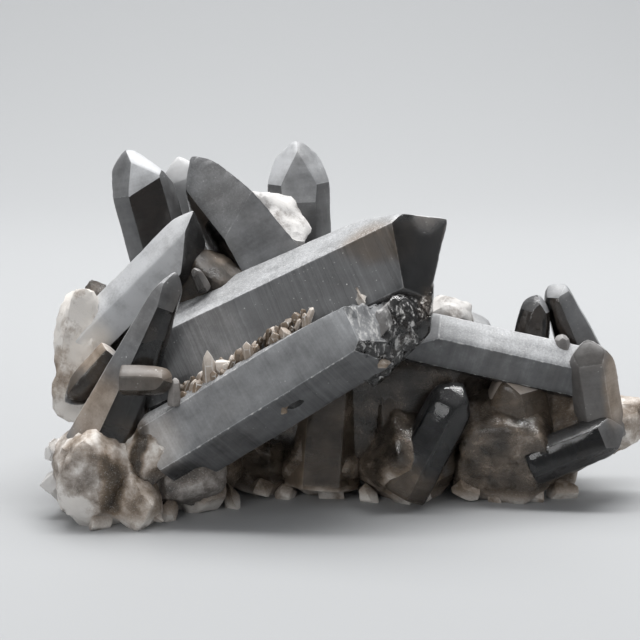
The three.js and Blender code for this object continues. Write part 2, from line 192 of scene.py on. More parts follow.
def lump(number, at, size, faces, seed, clear=0.3, pale=0.6, brown=0.85, sugary=0.3,
         grid=LUMP_GRID, relief=LUMP_RELIEF):
    """A piece of the root: an egg of half this size, cut to so many flat faces that are then made rough.
    The looks run from 0 to 1: how clear, pale, brown and sugary it is."""
    half, middle, planes = Vector(size), Vector(at), []
    for i in range(faces):
        turn = 2.39996 * i + 1.2 * shake(i, seed)
        rise = min(0.98, max(-0.98, 1 - (2 * i + 1) / faces + 0.25 * (shake(i + 50, seed) - 0.5)))
        ring = sqrt(1 - rise * rise)
        out = Vector((ring * cos(turn), ring * sin(turn), rise))
        skin = Vector([o * h for o, h in zip(out, half)])
        normal = Vector([o / h for o, h in zip(out, half)]).normalized()
        planes.append((normal, middle + skin * (0.86 + 0.2 * shake(i + 90, seed))))
    stone = cut_back(middle, planes)
    for k, way in enumerate((Vector((1, 0, 0)), Vector((0, 1, 0)), Vector((0, 0, 1)))):
        slice_across(stone, way, grid, seed + k)
    bmesh.ops.triangulate(stone, faces=[f for f in stone.faces if len(f.verts) > 4])
    blunt = min(0.5, 0.07 * min(size))

    def broken(co):
        big = noise.fractal(co * 0.13 + Vector((seed, 0, 0)), 0.8, 2.1, 2)
        chip = abs(noise.noise(co * 0.33 + Vector((0, seed, 0)))) + 0.4 * abs(noise.noise(co * 0.8))
        return relief * (0.9 * big - 1.1 * chip)

    wear_round(stone, planes, lambda co: blunt)
    push(stone, broken)

    def look(k):
        return clear, pale + 0.12 * (shake(k, seed) - 0.5), brown, 0, sugary

    keep(stone, "lump_%02d" % number, (0, 0, 0), look, 0, 1)


for number, one in enumerate(lumps):
    lump(number, **one)

# ---- The two main crystals -----------------------------------------------------------------------
# Six-sided smoky quartz, grown slantwise one over the other. Each side face carries fine growth
# ridges square to the crystal's length; the points are bright faces, one of them broken away.

mains = [
    dict(name="upper main", foot=(-34.5, -3, 25), tip=(24, -8, 54), roll=11, taper=(0, 0, 0, 0, 0, 6),
         sides=(9, 7.5, 9.5, 9, 8, 10.5), caps=[(89, 38, 2.8), (185, 43, -0.5), (345, 66, -13)],
         clear={"side0": 0.04, "side1": 0.15, "side2": 0.5, "cap0": 0.7, "cap1": 0.1, "cap2": 0.1},
         pale={"side0": 0.82, "side1": 0.5, "side2": 0.36, "cap0": 0.3, "cap2": 0.75},
         ridged={"side1": 1, "side2": 0.6}, sugary={"side0": 1}, worn=0.35, blunt=0.5),
    dict(name="front main", foot=(-31.3, -10.5, 13.7), tip=(16, -16, 44.5), roll=17, taper=0,
         sides=(8, 9, 9, 9, 9, 8), caps=[(89, 34, 3.8), (125, 58, -4), (335, 85, -7), (207, 43, -9)],
         clear={"side0": 0.1, "side1": 0.1, "side2": 0.15, "cap0": 0.15, "cap1": 0.85, "cap2": 0.3},
         pale={"side0": 0.75, "side1": 0.7, "side2": 0.5, "cap0": 0.56, "cap1": 0.25, "cap2": 0.5},
         ridged={"side1": 0.35, "side2": 0.8}, sugary={"side0": 0.7}, broken=("cap0", "cap1"), flakes=0.6,
         worn=1, blunt=0.3),
    dict(name="front main end", foot=(7, -13, 30), tip=(21.6, -14.6, 45), roll=0, taper=0,
         sides=(5.2, 7, 5.6, 5.2, 6, 6),
         caps=[(180, 47, 0), (10, 48, -0.6), (85, 40, 2.2), (130, 58, -1.5)],
         clear={"side0": 0.3, "side1": 0.5, "side2": 0.9, "cap0": 0.85, "cap1": 0.4, "cap2": 0.85,
                "cap3": 0.85},
         pale={"side0": 0.6, "side1": 0.6, "side2": 0.25, "cap0": 0.3, "cap1": 0.6, "cap2": 0.35,
               "cap3": 0.35},
         broken=("side0", "side1", "side2", "cap2"), brown=0.25, worn=0.8, blunt=0.3),
]


def axes_of(foot, tip):
    """Along the crystal, towards its side that looks up, and towards its side that looks to the front."""
    along = (Vector(tip) - Vector(foot)).normalized()
    up = (Vector((0, 0, 1)) - along * along.z).normalized()
    front = along.cross(up)
    return along, up, -front if front.y > 0 else front


def crystal(name, foot, tip, roll, taper, sides, caps, clear={}, pale={}, ridged={}, sugary={}, brown=0.0,
            worn=0.3, broken=(), flakes=0.6, ease=0.2, blunt=0.35, grid=(0.8, 1.5), relief=1.0):
    """Foot and tip are the ends of the axis. A turn is an angle about it in degrees, from the side that
    looks up (0) towards the front (90). Roll is the turn of the first of the six side faces, sides are
    their distances from the axis at the tip, and taper is how far they spread towards the foot. Each cap
    is a face of the point: its turn, its tilt, and how far behind the tip it crosses the axis. The looks
    of single faces go by their labels, side0 to side5 and cap0 on; their pale values are partly painted
    light and shade, lighter on faces that look up and darker on those that look down. Broken names the
    faces that are shattered, and flakes says how flaked they are, which also whitens them as painted
    reflections. Ease is the width of the worn edges and worn how much they are broken into chips and lit
    by painted highlights, blunt the radius of the tip, and grid the spacing of the cuts along and across
    the crystal that let its faces take relief. The smallest crystals do without these cuts."""
    along, up, front = axes_of(foot, tip)
    start, end = Vector(foot), Vector(tip)
    seed = sum(ord(letter) for letter in name) % 97
    planes, labels = [], []

    def around(turn):
        return up * cos(radians(turn)) + front * sin(radians(turn))

    for k, distance in enumerate(sides):
        spread = radians(taper[k] if isinstance(taper, tuple) else taper)
        out = around(roll + 60 * k)
        planes.append((out * cos(spread) + along * sin(spread), end + out * distance))
        labels.append("side%d" % k)
    for k, (turn, tilt, behind) in enumerate(caps):
        planes.append((along * cos(radians(tilt)) + around(turn) * sin(radians(tilt)), end - along * behind))
        labels.append("cap%d" % k)
    planes.append((-along, start))
    labels.append("foot")
    stone = cut_back(end, planes)
    ease_edges(stone, ease, 2)
    if grid:
        slice_across(stone, along, grid[0], seed)
        slice_across(stone, up, grid[1], seed + 1)
        slice_across(stone, front, grid[1], seed + 2)
    shattered = [planes[labels.index(label)] for label in broken]

    def blunt_at(co):
        near_tip = min(1, max(0, 1 + (co - end).dot(along) / (6 * blunt + 4)))
        return 0.3 + (blunt - 0.3) * near_tip if grid else 0.5 * ease

    def growth(co):
        """Ridges and ledges square to the axis, shallow dents and nicks, and steps where it is broken."""
        from_tip = (co - end).dot(along)
        drift = 0.8 * noise.noise(co * 0.12)
        fine = noise.noise(Vector((from_tip * 1.1 + drift, seed, 0)))
        ledge = noise.noise(Vector((from_tip * 0.22 + drift, seed + 7, 3)))
        dent = noise.noise(co * 0.11 + Vector((seed, 5, 0)))
        nick = max(0, noise.noise(co * 0.8 + Vector((0, seed, 9))) - 0.25)
        move = relief * (0.04 * fine + 0.08 * ledge + 0.1 * dent - 0.25 * nick)
        for out, point in shattered:
            if (co - point).dot(out) > -0.3:
                step = noise.cell(co * 0.45 + Vector((seed, 0, 0))) + 0.6 * noise.cell(co * 0.9)
                move -= 0.35 * step + 0.5 * abs(noise.noise(co * 0.5))
        return move

    wear_round(stone, planes, blunt_at)
    push(stone, growth)

    def look(k):
        """Faces that look up are the most etched and get the palest tone, and faces that look down the
        darkest: painted light and shade, unless the crystal says otherwise.
        """
        label, lift = labels[k], planes[k][0].z
        usual_clear, usual_pale = (0.08, 0.78) if lift > 0.35 else (0.3, 0.55) if lift > -0.2 else (0.6, 0.38)
        return (clear.get(label, usual_clear), pale.get(label, usual_pale), brown,
                ridged.get(label, 0.2), sugary.get(label, 0))

    keep(stone, name.replace(" ", "_"), along, look, worn, 0, lambda k: flakes if labels[k] in broken else 0)


for one in mains:
    crystal(**one)

# A step is broken out of the lower edge of the front crystal.

notch = dict(at=(-2, -23, 22.3), size=(4.8, 4, 3.2), faces=9, seed=40)
lump(99, **notch, clear=0.9, pale=0.15, brown=0.3, relief=0.15)
break_away = bpy.data.objects["lump_99"]
grown.objects.unlink(break_away)


def cut_from(stone, tool, operation="DIFFERENCE"):
    """Cuts one closed stone from another and keeps what its faces say."""
    cutting = stone.modifiers.new("cut", "BOOLEAN")
    cutting.operation, cutting.solver, cutting.object = operation, "MANIFOLD", tool
    bpy.context.scene.collection.objects.link(tool)
    bpy.context.view_layer.update()
    cut = bpy.data.meshes.new_from_object(stone.evaluated_get(bpy.context.evaluated_depsgraph_get()))
    stone.modifiers.clear()
    stone.data = cut
    bpy.data.objects.remove(tool)


cut_from(bpy.data.objects["front_main"], break_away)

# ---- The crystals to the left --------------------------------------------------------------------
# A fan of smaller crystals grown out of the same root, some upright and some leaning across each
# other, with a bright cream lump of the root showing behind.

POINT_TILT = 52  # of a quartz point's faces away from square across the crystal


def usual_point(turn, tilt=POINT_TILT):
    """Caps of the usual point of a crystal: three faces, a third of a turn apart, that meet at the tip."""
    return [(turn + step, tilt, 0) for step in (0, 120, 240)]


lefts = [
    dict(name="left tapered", foot=(-43.2, -12, 13.5), tip=(-27, -12, 50), roll=50, taper=6.5,
         sides=(2, 2, 2.2, 2, 2.4, 2), caps=[(110, 70, 0.5), (350, 66, 0), (50, 56, 0.5), (230, 60, 0.5)],
         clear={"side0": 0.1, "side1": 0.8, "side2": 0.9, "cap0": 0.12},
         pale={"side0": 0.6, "side1": 0.2, "cap0": 0.42}, brown=0.15, ease=0.12, blunt=0.5),
    dict(name="cross stub", foot=(-38, -19, 29), tip=(-26.5, -20, 29), roll=30, taper=0,
         sides=(2.6, 3, 3, 3, 3, 2.6), caps=usual_point(20) + [(80, 20, 1)],
         pale={"side0": 0.5, "side1": 0.45, "side5": 0.5, "cap0": 0.5, "cap3": 0.5}, brown=0.5, ease=0.12,
         blunt=0.6),
    dict(name="left oblique", foot=(-47.8, 3.1, 30.8), tip=(-23, 4, 55.5), roll=35, taper=0,
         sides=[5] * 6, caps=[(149, 57, 1.8), (300, 60, -1)],
         clear={"side0": 0.05, "side1": 0.15, "cap0": 0.45}, pale={"side0": 0.95, "side1": 1, "cap0": 0.3},
         sugary={"side0": 0.3}, brown=0.1, ease=0.12, blunt=0.35),
    dict(name="left dark end", foot=(-41, -6, 32), tip=(-51, -7, 21), roll=25, taper=0,
         sides=(2.5, 3, 3, 3, 3, 2.5), caps=[(0, 62, 0), (120, 52, 0), (240, 52, 0)],
         clear={"side0": 0.2, "side1": 0.6, "cap0": 0.6, "cap1": 0.7},
         pale={"side0": 0.55, "side1": 0.3, "cap1": 0.3}, brown=0.3, ease=0.12, blunt=0.5),
    dict(name="tall left", foot=(-26.3, 12, 24), tip=(-38.5, 12, 71), roll=19, taper=0,
         sides=(5.8, 5.2, 5.8, 5.8, 5.8, 5.8),
         caps=[(48, 46, 0.5), (139, 65, -3), (84, 74, -9.5), (259, 52, 0), (340, 56, 0)],
         clear={"side1": 0.97, "side2": 0.15, "cap0": 0.04, "cap1": 0.1, "cap2": 0.04, "cap4": 0.04},
         pale={"side1": 0.1, "side2": 0.55, "cap0": 0.98, "cap1": 0.66, "cap2": 0.9, "cap4": 0.98},
         brown=0.08, ease=0.12, blunt=0.5),
    dict(name="pale tip", foot=(-15, 26.6, 26), tip=(-30, 22, 68.5), roll=0, taper=0,
         sides=[4] * 6, caps=usual_point(0),
         clear={"side2": 0.1, "side1": 0.1},
         pale={"side2": 1.15, "side1": 1.15, "cap0": 1.15, "side0": 1.2, "side5": 1.2, "cap1": 1.2,
               "cap2": 1.2},
         brown=0.3, blunt=0.45),
    dict(name="blunt upright", foot=(-3, 13.2, 36), tip=(-23, 12, 69.5), roll=30, taper=5,
         sides=(8, 4.2, 6.6, 9, 4.5, 0.2), caps=[(100, 68, 0), (210, 60, -8), (330, 52, 1), (30, 52, -1)],
         clear={"side1": 0.15, "side2": 0.95, "cap0": 0.12, "cap1": 0.1},
         pale={"side1": 0.68, "side2": 0.12, "cap0": 0.64, "cap1": 0.75}, sugary={"cap0": 0.15}, brown=0.08,
         worn=0.35, ease=0.12, blunt=0.5),
    dict(name="back upright", foot=(-3.2, 30, 20), tip=(-5, 30, 72), roll=28, taper=0,
         sides=[6] * 6, caps=[(28, 60, 0), (148, 60, 0), (268, 52, 0), (88, 76, -10)],
         clear={"side1": 0.3, "cap3": 0.15, "cap1": 0.08},
         pale={"cap3": 0.76, "cap1": 0.95, "side1": 0.6, "cap0": 0.8}, ease=0.12, blunt=0.75),
    dict(name="finger", foot=(-28, -18.5, 23.5), tip=(-27.5, -18.8, 30), roll=30, taper=2,
         sides=[1.2] * 6, caps=usual_point(30),
         pale={"side0": 0.68, "side1": 0.66, "side2": 0.64}, brown=0.3, blunt=0.4),
    dict(name="thumb", foot=(-23, 1, 43), tip=(-25.3, -2, 48.3), roll=30, taper=2,
         sides=[1.3] * 6, caps=usual_point(30),
         pale={"side0": 0.6, "side1": 0.58, "side2": 0.58}, brown=0.25, blunt=0.4),
]

for one in lefts:
    crystal(**one)

# ---- The crystals to the right -------------------------------------------------------------------
# One long crystal lies across the right half and a group of short ones closes the end. Broad dark
# prisms, half sunk in the root, stand under it.

rights = [
    dict(name="right lying", foot=(57, 3, 24.5), tip=(13, 0, 35), roll=45, taper=0,
         sides=[5.3] * 6, caps=[(45, 62, 0), (165, 52, -2), (285, 52, 0)],
         clear={"side0": 0.03, "side1": 0.25}, pale={"side0": 0.8, "side1": 0.6},
         ridged={"side0": 0.3, "side1": 0.3}, sugary={"side0": 0.4}, brown=0.05, worn=0.7, blunt=0.35),
    dict(name="right dark blade", foot=(43, 12, 25.5), tip=(45, 12, 41), roll=40, taper=4,
         sides=[2.8] * 6, caps=usual_point(40),
         clear={"side0": 0.7, "side1": 0.85, "side2": 0.8, "cap0": 0.4},
         pale={"side0": 0.4, "side1": 0.25, "side2": 0.3, "cap0": 0.5}, ease=0.12, blunt=0.5),
    dict(name="right leaning", foot=(57.5, 14, 20.5), tip=(47.5, 14, 43.5), roll=63, taper=6.5,
         sides=[2.5] * 6, caps=usual_point(63) + [(93, 30, 2)],
         clear={"side0": 0.08, "side1": 0.95, "cap3": 0.03},
         pale={"side0": 0.52, "side1": 0.08, "cap3": 0.74, "cap0": 0.8}, brown=0.1, ease=0.12, blunt=0.5),
    dict(name="nub", foot=(49, 1, 26), tip=(48.5, 1, 34.5), roll=30, taper=0,
         sides=[1.7] * 6, caps=usual_point(30, 40),
         pale={"side0": 0.75, "side1": 0.7, "side2": 0.7}, brown=0.35, blunt=0.4),
    dict(name="right upright", foot=(57, -2, 13), tip=(53, -2, 34.5), roll=38, taper=0,
         sides=[4.3] * 6, caps=usual_point(98),
         clear={"side0": 0.1, "side1": 0.1, "side2": 0.2, "cap0": 0.08},
         pale={"side0": 0.56, "side1": 0.55, "side2": 0.55, "cap0": 0.35}, brown=0.3, blunt=0.7),
    dict(name="right underside", foot=(42, -4, 8), tip=(61, -6, 16.5), roll=20, taper=0,
         sides=[4] * 6, caps=usual_point(80),
         clear={"side0": 0.4, "side1": 0.95, "side2": 0.6, "side5": 0.3},
         pale={"side0": 0.15, "side1": 0.15, "side2": 0.35, "side5": 0.3, "cap0": 0.5, "cap1": 0.5,
               "cap2": 0.5},
         brown=0.15, ease=0.12, blunt=0.4),
    dict(name="smoky under", foot=(16.5, -6, 2.5), tip=(28.5, -5, 26), roll=60, taper=0,
         sides=[4.5] * 6, caps=usual_point(60),
         clear={"side0": 0.7, "side1": 0.9, "side4": 0.4, "side5": 0.4, "cap0": 0.6, "cap1": 0.3,
                "cap2": 0.3},
         pale={"side0": 0.2, "side1": 0.25, "side4": 0.15, "side5": 0.1, "cap0": 0, "cap1": 0.05,
               "cap2": 0.05},
         ease=0.12, blunt=0.5),
    dict(name="column left", foot=(0.5, 1, 2), tip=(3, 6, 36), roll=25, taper=0, sides=(7, 6.5, 7, 7, 7, 7),
         caps=usual_point(25), clear={"side0": 0.5, "side1": 0.5, "side2": 0.5},
         pale={"side0": 0.42, "side1": 0.42, "side2": 0.4}, brown=0.75, ease=0.12, blunt=1),
    dict(name="column middle", foot=(14.5, 1, 3), tip=(13, 6, 33), roll=0, taper=0,
         sides=[4.5] * 6, caps=usual_point(0),
         clear={"side0": 0.5, "side1": 0.6, "side2": 0.5},
         pale={"side0": 0.42, "side1": 0.36, "side2": 0.4}, brown=0.7, ease=0.12, blunt=1),
    dict(name="column right", foot=(43, 0, 4), tip=(38, 4, 29), roll=15, taper=0, sides=[6] * 6,
         caps=usual_point(15), clear={"side0": 0.5, "side1": 0.45, "side2": 0.5},
         pale={"side0": 0.45, "side1": 0.48, "side2": 0.4}, brown=0.75, ease=0.12, blunt=1),
]

for one in rights:
    crystal(**one)

# ---- The crystals at the back --------------------------------------------------------------------
# The back of the root bristles with stubby crystals that lean outwards, and with smaller ones
# scattered between them.

backs = [
    dict(name="back left high", foot=(-24, 16, 22), tip=(-45, 35, 40), roll=10, taper=1,
         sides=(5, 5.5, 5, 5, 5.5, 5), caps=[(10, 52, 0), (130, 52, 1), (250, 52, 0), (190, 64, -3)]),
    dict(name="back left low", foot=(-26, 14, 10), tip=(-50, 30, 16), roll=35, taper=2,
         sides=(4.5, 4.5, 5, 4.5, 4.5, 5), caps=[(35, 52, 0), (155, 52, 0), (275, 52, 1)]),
    dict(name="back centre", foot=(-8, 18, 22), tip=(-20, 41, 45), roll=20, taper=0,
         sides=(6, 6, 5.5, 6, 6, 6.5), caps=[(20, 52, 0), (140, 52, 1.5), (260, 52, 0), (200, 60, -1)]),
    dict(name="back main", foot=(-8, 20, 14), tip=(24, 38, 38), roll=50, taper=0,
         sides=(7, 6.5, 7, 7.5, 7, 6.5), caps=[(50, 52, 0), (170, 52, 2), (290, 52, 0), (350, 66, -5)]),
    dict(name="back foot", foot=(-6, 16, 8), tip=(-14, 42, 12), roll=0, taper=2,
         sides=(4, 4.5, 4, 4, 4.5, 4), caps=usual_point(0)),
    dict(name="back right", foot=(26, 12, 12), tip=(47, 34, 25), roll=20, taper=1,
         sides=(5, 5, 5.5, 5, 5, 5), caps=[(20, 52, 0), (140, 52, 0), (260, 52, 1.5)]),
    dict(name="back upper", foot=(-12, 20, 26), tip=(-1, 40, 41), roll=5, taper=1,
         sides=(4, 4, 4.5, 4, 4, 4.5), caps=[(5, 52, 0), (125, 52, 0), (245, 52, 1)]),
    dict(name="back left middle", foot=(-22, 18, 20), tip=(-36, 39, 29), roll=25, taper=2,
         sides=[3.5] * 6, caps=usual_point(25)),
    dict(name="back right upper", foot=(14, 16, 20), tip=(37, 31, 32), roll=40, taper=1,
         sides=(3.5, 4, 3.5, 3.5, 4, 3.5), caps=[(40, 52, 0), (160, 52, 0), (280, 52, 1)]),
    dict(name="back low middle", foot=(8, 20, 10), tip=(14, 43, 15), roll=15, taper=2,
         sides=[3.5] * 6, caps=usual_point(15)),
    dict(name="back right low", foot=(30, 12, 7), tip=(36, 36, 9), roll=45, taper=2,
         sides=[4] * 6, caps=usual_point(45)),
]

for one in backs:
    crystal(**one, brown=0.15, grid=(1.3, 2.4))

BACK_CRYSTALS = 30
for i in range(BACK_CRYSTALS):
    bearing, climb = radians(between(15, 165, i, 71)), radians(between(0, 58, i, 72))
    out = Vector((cos(climb) * cos(bearing), cos(climb) * sin(bearing), sin(climb)))
    spot = Vector([o * h + a for o, h, a in zip(out, CORE["size"], CORE["at"])])
    lean = Vector([o / h for o, h in zip(out, CORE["size"])]).normalized()
    lean = (lean + Vector((shake(i, 73) - 0.5, 0, 0.7 * shake(i, 74)))).normalized()
    roll = 60 * shake(i, 75)
    crystal("back small %d" % i, spot - lean * 6, spot + lean * between(1.5, 6.5, i, 76), roll, 2,
            [between(1.2, 2.9, i, 77)] * 6, usual_point(roll),
            brown=0.5 * shake(i, 78), ease=0.14, grid=None, relief=0.5)

# ---- The druse in the seam -----------------------------------------------------------------------
# Tiny cream and brown crystals fill the groove between the two main ones. They were the last to
# grow, and stand up in a ragged row along the upper edge of the front crystal.

seam = [
    dict(name="seam spike", foot=(-20.5, -16.5, 26), tip=(-21.5, -18, 34.5), roll=30, taper=6,
         sides=[0.9] * 6, caps=usual_point(30, 68)),
    dict(name="seam block", foot=(-17.5, -15.5, 28), tip=(-18.5, -18, 32), roll=10, taper=2,
         sides=(1.5, 1.5, 1.8, 1.5, 1.5, 1.8), caps=[(10, 30, 0), (130, 52, 0.5)]),
    dict(name="seam upright", foot=(-13, -18, 29), tip=(-14, -19, 36.3), roll=20, taper=2,
         sides=[0.9] * 6, caps=usual_point(20, 56)),
    dict(name="seam wedge", foot=(-5, -19, 35), tip=(-7.5, -20, 39.2), roll=40, taper=5,
         sides=[0.9] * 6, caps=usual_point(40, 60)),
]

SEAM_LABELS = ["side%d" % k for k in range(6)] + ["cap%d" % k for k in range(3)]
SEAM_CLEAR = dict.fromkeys(SEAM_LABELS, 0.15)
SEAM_PALE = dict.fromkeys(SEAM_LABELS, 0.72)

for one in seam:
    crystal(**one, clear=SEAM_CLEAR, pale=SEAM_PALE, brown=0.9, worn=0.8, ease=0.14, grid=None, relief=0.4)

SEAM_CRYSTALS = 40
seam_start, seam_end = Vector((-28, -17.6, 24.4)), Vector((-1.5, -20.6, 41.4))
for i in range(SEAM_CRYSTALS):
    back = 4.5 * shake(i, 32)
    spot = seam_start.lerp(seam_end, (i + 0.8 * shake(i, 31)) / SEAM_CRYSTALS)
    spot += Vector((0, back, 0.29 * back))
    lean = Vector((shake(i, 35) - 0.5, shake(i, 36) - 0.7, 1.1)).normalized()
    roll = 60 * shake(i, 37)
    tone = dict.fromkeys(SEAM_LABELS, between(0.25, 0.8, i, 38))
    crystal("seam small %d" % i, spot - lean * 3, spot + lean * between(0.2, 1.6, i, 33), roll, 3,
            [between(0.4, 0.95, i, 34)] * 6, usual_point(roll),
            clear=SEAM_CLEAR, pale=tone, brown=0.9, worn=0.6, ease=0.12, grid=None, relief=0.3)

# ---- The rim of the foot -------------------------------------------------------------------------
# Where the root broke from the rock its lower edge is a line of small chips of cream quartz, with
# gaps between them. They are still held fast in the root.

rim_line = [(-50, -12), (-42, -19), (-32, -17), (-22, -9), (-10, 1), (2, 1), (13, -1), (22, -2.5),
            (32, -1.5), (44, -1), (50, 2), (51, 8), (43, 14), (36, 22), (22, 23), (6, 29), (-12, 24),
            (-28, 17), (-40, 16), (-48, 0)]
RIM_CHIPS = 34
corners = [Vector((x, y, 0)) for x, y in rim_line]
lengths = [(b - a).length for a, b in zip(corners, corners[1:] + corners[:1])]
for i in range(RIM_CHIPS):
    run, k = (i + 0.7 * shake(i, 51)) / RIM_CHIPS * sum(lengths), 0
    while run > lengths[k]:
        run, k = run - lengths[k], k + 1
    spot = corners[k].lerp(corners[(k + 1) % len(corners)], run / lengths[k])
    size = [between(1.3, 3, i, seed) for seed in (52, 53, 54)]
    lump(100 + i, (spot.x, spot.y, between(0.5, 3.2, i, 55)), size, 10, 60 + i,
         clear=0.3, pale=0.55, grid=1.4, relief=0.3)

# ---- All of it grown together --------------------------------------------------------------------
# It is one stone: every crystal and lump runs into its neighbours. It rests on the flat places
# where its lowest points are worn level.

stones = list(grown.objects)
whole = bpy.data.objects.new("quartz_cluster", stones[0].data)
bpy.context.scene.collection.objects.link(whole)
grown.objects.unlink(stones[0])
joining = whole.modifiers.new("grown_together", "BOOLEAN")
joining.operation, joining.solver = "UNION", "MANIFOLD"
joining.operand_type, joining.collection = "COLLECTION", grown
floor_block = bmesh.new()
bmesh.ops.create_cube(floor_block, size=BLOCK, matrix=Matrix.Translation((0, 0, -BLOCK / 2)))
below = bpy.data.objects.new("below", bpy.data.meshes.new("below"))
floor_block.to_mesh(below.data)
floor_block.free()
cut_from(whole, below)
for spare in stones:
    bpy.data.objects.remove(spare)
bpy.data.collections.remove(grown)
joined = whole.data

MM = 0.001
MIDDLE = Vector((6.356, 9.042, 0))  # of the cluster's box, which stands over the frame's origin
SHARP_ANGLE = radians(40)  # edges sharper than this aren't smoothed over
joined.transform(Matrix.Scale(MM, 4) @ Matrix.Translation(-MIDDLE))
joined.polygons.foreach_set("use_smooth", [True] * len(joined.polygons))
joined.set_sharp_from_angle(angle=SHARP_ANGLE)

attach(whole, "root")
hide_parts("smoky_quartz_cluster")

# ---- The finish of the quartz --------------------------------------------------------------------
# Smoky quartz is clear brown-grey glass inside. Its faces are etched to a satin grey, with ridges across
# them, and are painted lighter where they look up, a painted light from above; the newest faces are bare
# glass and look black. The root is white with trapped bubbles and stained brown by iron.


class Shade:
    """A socket of the finish. Sums on it add Math nodes, and node() adds any other node."""

    def __init__(self, tree, socket=None):
        self.tree, self.socket = tree, socket

    def node(self, kind, settings={}, inputs={}, output=0):
        made = self.tree.nodes.new(kind)
        for key, value in settings.items():
            if key == "stops":
                ramp = made.color_ramp
                while len(ramp.elements) < len(value):
                    ramp.elements.new(0.5)
                for element, (place, colour) in zip(ramp.elements, value):
                    element.position, element.color = place, (*colour, 1)
            else:
                setattr(made, key, value)
        for key, value in inputs.items():
            if isinstance(value, Shade):
                self.tree.links.new(value.socket, made.inputs[key])
            else:
                made.inputs[key].default_value = value
        return Shade(self.tree, made.outputs[output] if made.outputs else None)

    def maths(self, operation, *terms):
        return self.node("ShaderNodeMath", {"operation": operation}, dict(enumerate(terms)))

    def __add__(self, other):
        return self.maths("ADD", self, other)

    def __sub__(self, other):
        return self.maths("SUBTRACT", self, other)

    def __rsub__(self, other):
        return self.maths("SUBTRACT", other, self)

    def __mul__(self, other):
        return self.maths("MULTIPLY", self, other)

    __radd__, __rmul__ = __add__, __mul__

    def rise(self, low, high):
        """0 below low, 1 above high, and smooth between them."""
        return self.node("ShaderNodeMapRange", {"interpolation_type": "SMOOTHSTEP"},
                         {"Value": self, "From Min": low, "From Max": high})

    def blend(self, first, second):
        """The first colour where this is 0 and the second where it is 1."""
        return self.node("ShaderNodeMix", {"data_type": "RGBA"}, {0: self, 6: first, 7: second}, 2)


quartz = bpy.data.materials.new("smoky_quartz")
quartz.use_nodes = True
quartz.node_tree.nodes.clear()
finish = Shade(quartz.node_tree)


def face_value(label):
    return finish.node("ShaderNodeAttribute", {"attribute_name": label}, output=2)


def cloud(scale, detail=3, sharpness=0.55):
    return finish.node("ShaderNodeTexNoise", {},
                       {"Vector": place, "Scale": scale, "Detail": detail, "Roughness": sharpness})


def larger(*terms):
    return finish.maths("MAXIMUM", *terms)


place = finish.node("ShaderNodeTexCoord", output=3)
place = finish.node("ShaderNodeVectorMath", {"operation": "SCALE"}, {0: place, 3: 1 / MM})
# Painted light: how much a face looks up, which makes it lighter and thickens the painted sparkle on it.
upward_for_painted_light = finish.node("ShaderNodeSeparateXYZ", {}, {0: finish.node("ShaderNodeTexCoord", output=1)}, 2)
height = finish.node("ShaderNodeSeparateXYZ", {}, {0: place}, 2)
growth = finish.node("ShaderNodeAttribute", {"attribute_name": "growth"}, output=1)
along = finish.node("ShaderNodeVectorMath", {"operation": "DOT_PRODUCT"}, {0: place, 1: growth}, 1)
clear, pale, brown = face_value("clear"), face_value("pale"), face_value("brown")
ridged, sugary = face_value("ridged"), face_value("sugary")
edge, rough = face_value("edge"), face_value("rough")

broad, patchy, fine, grains = cloud(0.06, 2), cloud(0.22, 4), cloud(2.2, 3, 0.6), cloud(3.5, 1)
ridges = finish.node("ShaderNodeTexNoise", {"noise_dimensions": "1D"},
                     {"W": along * 1.1 + patchy * 0.8, "Scale": 1, "Detail": 4, "Roughness": 0.7})
bands = finish.node("ShaderNodeTexNoise", {"noise_dimensions": "1D"},
                    {"W": along * 0.25 + broad * 1.5, "Scale": 1, "Detail": 2})

# Places where iron has stained the quartz, where it is cloudier, or where a crystal sinks into the root,
# and two places of painted shade, in a crevice and just under the front crystal: middle, reach, then how
# much paler, browner and clearer it is there.
stains_and_painted_shade = [
    ((-32, -16, 16), (8, 9, 7), 0.16, 0.5, -0.1),
    ((-43, -15, 22), (8, 9, 9), 0.05, 0.6, 0),
    ((-40, -22, 9.5), (2.4, 9, 6.5), -0.34, 0.6, 0.1),
    # Painted shade: a dark oval on the root just under the front crystal.
    ((-26, -18, 10.5), (4.5, 8, 2.8), -0.3, 0, 0.2),
    ((-46, -23, 11), (3.5, 8, 5), 0, -0.05, 0),
    ((-50, -20, 3), (6, 12, 6), 0.32, 0, -0.2),
    ((-13, -4, 10), (7, 9, 6), -0.05, 0.3, 0.1),
    ((0, -8, 1), (9, 9, 3), 0.35, 0.1, -0.3),
    ((21.5, -15, 42), (3, 5, 7), 0.15, 0.8, 0),
    ((14, -9, 22), (4, 7, 4.5), 0.15, 0.6, 0),
    ((-45, -4, 32), (4.5, 8, 6), 0.1, 0.7, 0),
    ((11, -13, 54.5), (11, 8, 5), -0.2, 0.5, 0),
    ((8, -20, 42), (9, 8, 7), 0.1, 0.05, -0.1),
    ((59, -5, 25), (3.5, 8, 9), 0.1, 0.5, 0),
    ((-52, -4, 26), (5, 9, 6), -0.3, 0.4, 0),
    # Painted shade: a narrow dark line in the crevice between the lumps at the left.
    ((-35, -20, 15.5), (1.5, 9, 6), -0.5, 0.1, 0.4),
    ((18.5, -8, 5), (6.5, 8, 6), 0.22, 0.8, -0.3),
    ((24, -8, 58), (8, 9, 3), 0.25, 0.3, -0.4),
    ((-22, -14, 36), (10, 8, 8), 0.17, 0.15, 0),
    ((6, -20, 37), (7, 8, 5), 0.08, 0.1, 0),
]
wander = finish.node("ShaderNodeTexNoise", {}, {"Vector": place, "Scale": 0.12, "Detail": 3}, 1)
wander = finish.node("ShaderNodeVectorMath", {"operation": "SCALE"}, {0: wander, 3: 5})
wander = finish.node("ShaderNodeVectorMath", {"operation": "ADD"}, {0: place, 1: wander})


